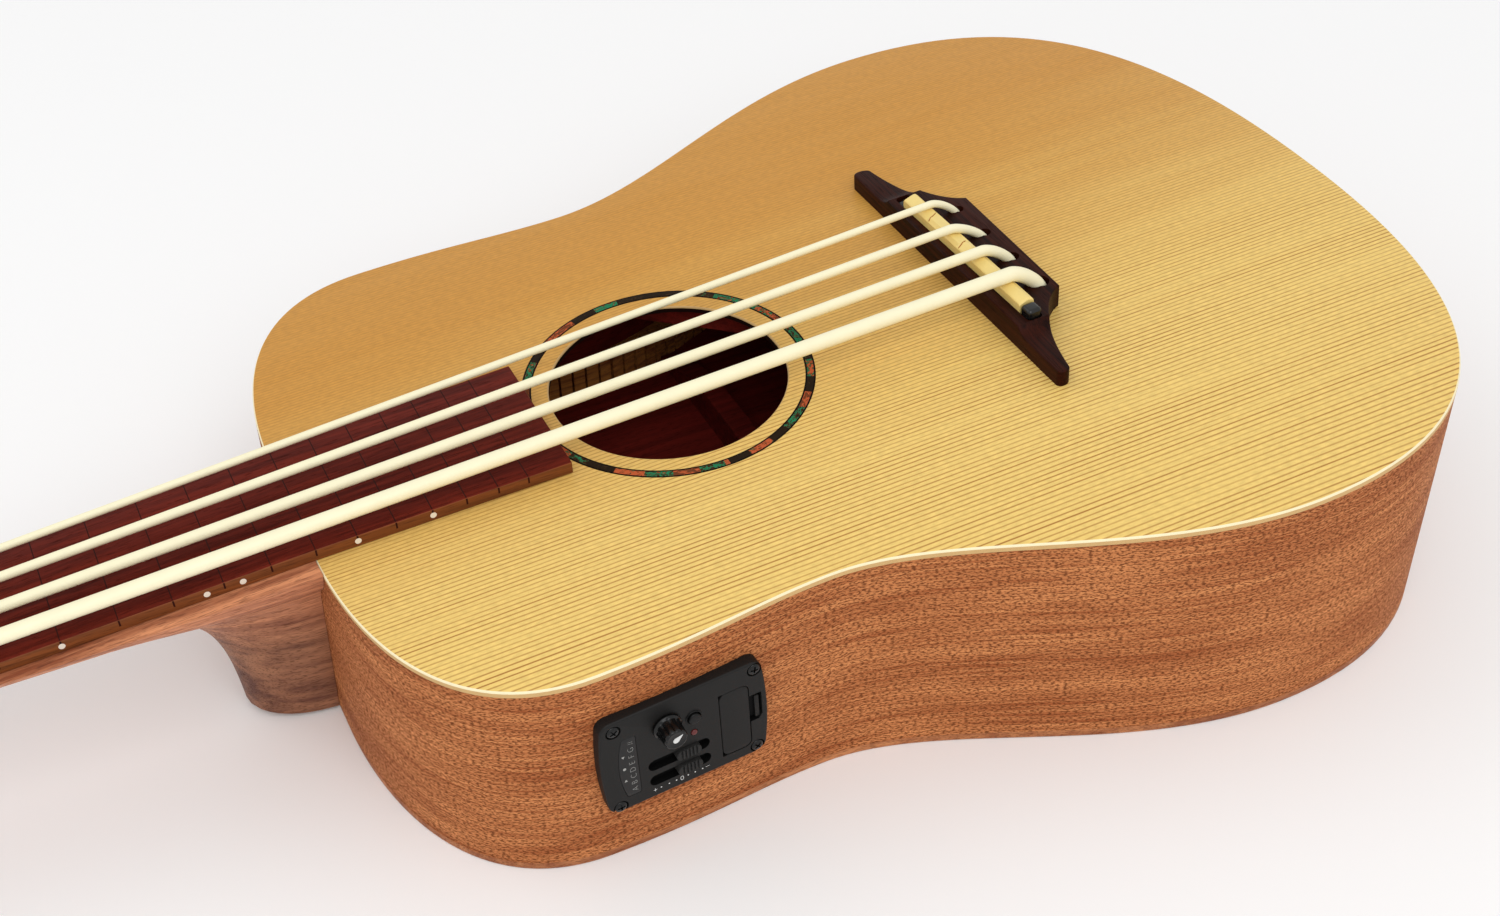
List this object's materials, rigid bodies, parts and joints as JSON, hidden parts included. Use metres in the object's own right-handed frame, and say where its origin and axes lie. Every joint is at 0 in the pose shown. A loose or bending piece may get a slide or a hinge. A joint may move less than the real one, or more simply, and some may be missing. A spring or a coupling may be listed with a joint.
{
  "type": "bass ukulele",
  "caption": "Fretless acoustic-electric bass ukulele: hollow guitar-shaped body with round sound hole, slotted-saddle bridge, long neck, rubber strings and side-mounted preamp.",
  "frame": {"origin": "on the back's outer face, on the centre line, midway along the body", "axes": "+Y to the headstock, +X to the treble side, +Z out of the soundboard"},
  "size_m": [0.2816, 0.7873, 0.0996],
  "materials": {
    "black_plastic": "matt",
    "body_wood": "satin",
    "bone": "satin",
    "control_rubber": "matt",
    "dark_wood": "satin",
    "display_lens": "gloss",
    "inner_wood": "matt",
    "lamp_lens": "gloss",
    "plated_metal": "polished",
    "rosette_shell": "gloss",
    "soundboard_wood": "satin",
    "string_rubber": "satin"
  },
  "bodies": {
    "instrument": {"back": "body_wood", "back_brace_lower": "inner_wood", "back_brace_middle": "inner_wood", "back_brace_upper": "inner_wood", "battery_lamp": "lamp_lens", "bridge": "dark_wood", "bridge_plate": "body_wood", "bushing_a": "plated_metal", "bushing_d": "plated_metal", "bushing_e": "plated_metal", "bushing_g": "plated_metal", "coin_cell_inner": "plated_metal", "coin_cell_outer": "plated_metal", "fretboard": "dark_wood", "headplate": "dark_wood", "lining_back_bass": "inner_wood", "lining_back_treble": "inner_wood", "lining_top_bass": "inner_wood", "lining_top_treble": "inner_wood", "machine_plate_a": "plated_metal", "machine_plate_d": "plated_metal", "machine_plate_e": "plated_metal", "machine_plate_g": "plated_metal", "neck": "body_wood", "neck_block": "body_wood", "nut": "bone", "output_jack": "plated_metal", "pickup_strip": "black_plastic", "preamp_housing": "black_plastic", "rosette": "rosette_shell", "saddle": "bone", "side_bass": "body_wood", "side_treble": "body_wood", "soundboard": "soundboard_wood", "string_a": "string_rubber", "string_d": "string_rubber", "string_e": "string_rubber", "string_g": "string_rubber", "tail_block": "body_wood", "tuner_window": "display_lens", "upper_brace": "inner_wood", "winding_a": "string_rubber", "winding_d": "string_rubber", "winding_e": "string_rubber", "winding_g": "string_rubber", "x_brace_lapped": "inner_wood", "x_brace_long": "inner_wood"},
    "volume_knob": {"volume_knob": "black_plastic"},
    "bass_slider": {"bass_slider": "control_rubber"},
    "treble_slider": {"treble_slider": "control_rubber"},
    "tuner_button": {"tuner_button": "control_rubber"},
    "battery_cover": {"battery_cover": "black_plastic"},
    "key_e": {"key_e": "plated_metal"},
    "post_e": {"post_e": "plated_metal"},
    "key_a": {"key_a": "plated_metal"},
    "post_a": {"post_a": "plated_metal"},
    "key_d": {"key_d": "plated_metal"},
    "post_d": {"post_d": "plated_metal"},
    "key_g": {"key_g": "plated_metal"},
    "post_g": {"post_g": "plated_metal"}
  },
  "joints": [
    {"name": "volume_turn", "type": "hinge", "parent": "instrument", "child": "volume_knob", "pos_m": [-0.10869, 0.1083, 0.04992], "axis": [-0.9987, -0.0518, 0.0019], "range_deg": [-94, 206]},
    {"name": "bass_slide", "type": "slide", "parent": "instrument", "child": "bass_slider", "axis": [0.0518, -0.998, 0.0374], "range_m": [-0.0084, 0.0028]},
    {"name": "treble_slide", "type": "slide", "parent": "instrument", "child": "treble_slider", "axis": [0.0518, -0.998, 0.0374], "range_m": [-0.0084, 0.0028]},
    {"name": "tuner_press", "type": "slide", "parent": "instrument", "child": "tuner_button", "axis": [0.9987, 0.0518, -0.0019], "range_m": [0, 0.0008], "stiffness_N_per_m": 600},
    {"name": "battery_cover_hinge", "type": "hinge", "parent": "instrument", "child": "battery_cover", "pos_m": [-0.1072, 0.09068, 0.04008], "axis": [0, -0.0374, -0.9993], "range_deg": [0, 100]},
    {"name": "key_turn_e", "type": "hinge", "parent": "instrument", "child": "key_e", "pos_m": [-0.022, 0.50997, 0.03004], "axis": [1, 0, 0], "continuous": true},
    {"name": "post_turn_e", "type": "hinge", "parent": "instrument", "child": "post_e", "pos_m": [-0.022, 0.50055, 0.03191], "axis": [0, 0.194, 0.981], "continuous": true},
    {"name": "key_turn_a", "type": "hinge", "parent": "instrument", "child": "key_a", "pos_m": [-0.022, 0.56303, 0.01955], "axis": [1, 0, 0], "continuous": true},
    {"name": "post_turn_a", "type": "hinge", "parent": "instrument", "child": "post_a", "pos_m": [-0.022, 0.55362, 0.02141], "axis": [0, 0.194, 0.981], "continuous": true},
    {"name": "key_turn_d", "type": "hinge", "parent": "instrument", "child": "key_d", "pos_m": [0.022, 0.56303, 0.01955], "axis": [1, 0, 0], "continuous": true},
    {"name": "post_turn_d", "type": "hinge", "parent": "instrument", "child": "post_d", "pos_m": [0.022, 0.55362, 0.02141], "axis": [0, 0.194, 0.981], "continuous": true},
    {"name": "key_turn_g", "type": "hinge", "parent": "instrument", "child": "key_g", "pos_m": [0.022, 0.50997, 0.03004], "axis": [1, 0, 0], "continuous": true},
    {"name": "post_turn_g", "type": "hinge", "parent": "instrument", "child": "post_g", "pos_m": [0.022, 0.50055, 0.03191], "axis": [0, 0.194, 0.981], "continuous": true}
  ],
  "couplings": [
    {"joint": "post_turn_e", "follows": "key_turn_e", "ratio": -0.071429},
    {"joint": "post_turn_a", "follows": "key_turn_a", "ratio": -0.071429},
    {"joint": "post_turn_d", "follows": "key_turn_d", "ratio": 0.071429},
    {"joint": "post_turn_g", "follows": "key_turn_g", "ratio": 0.071429}
  ]
}
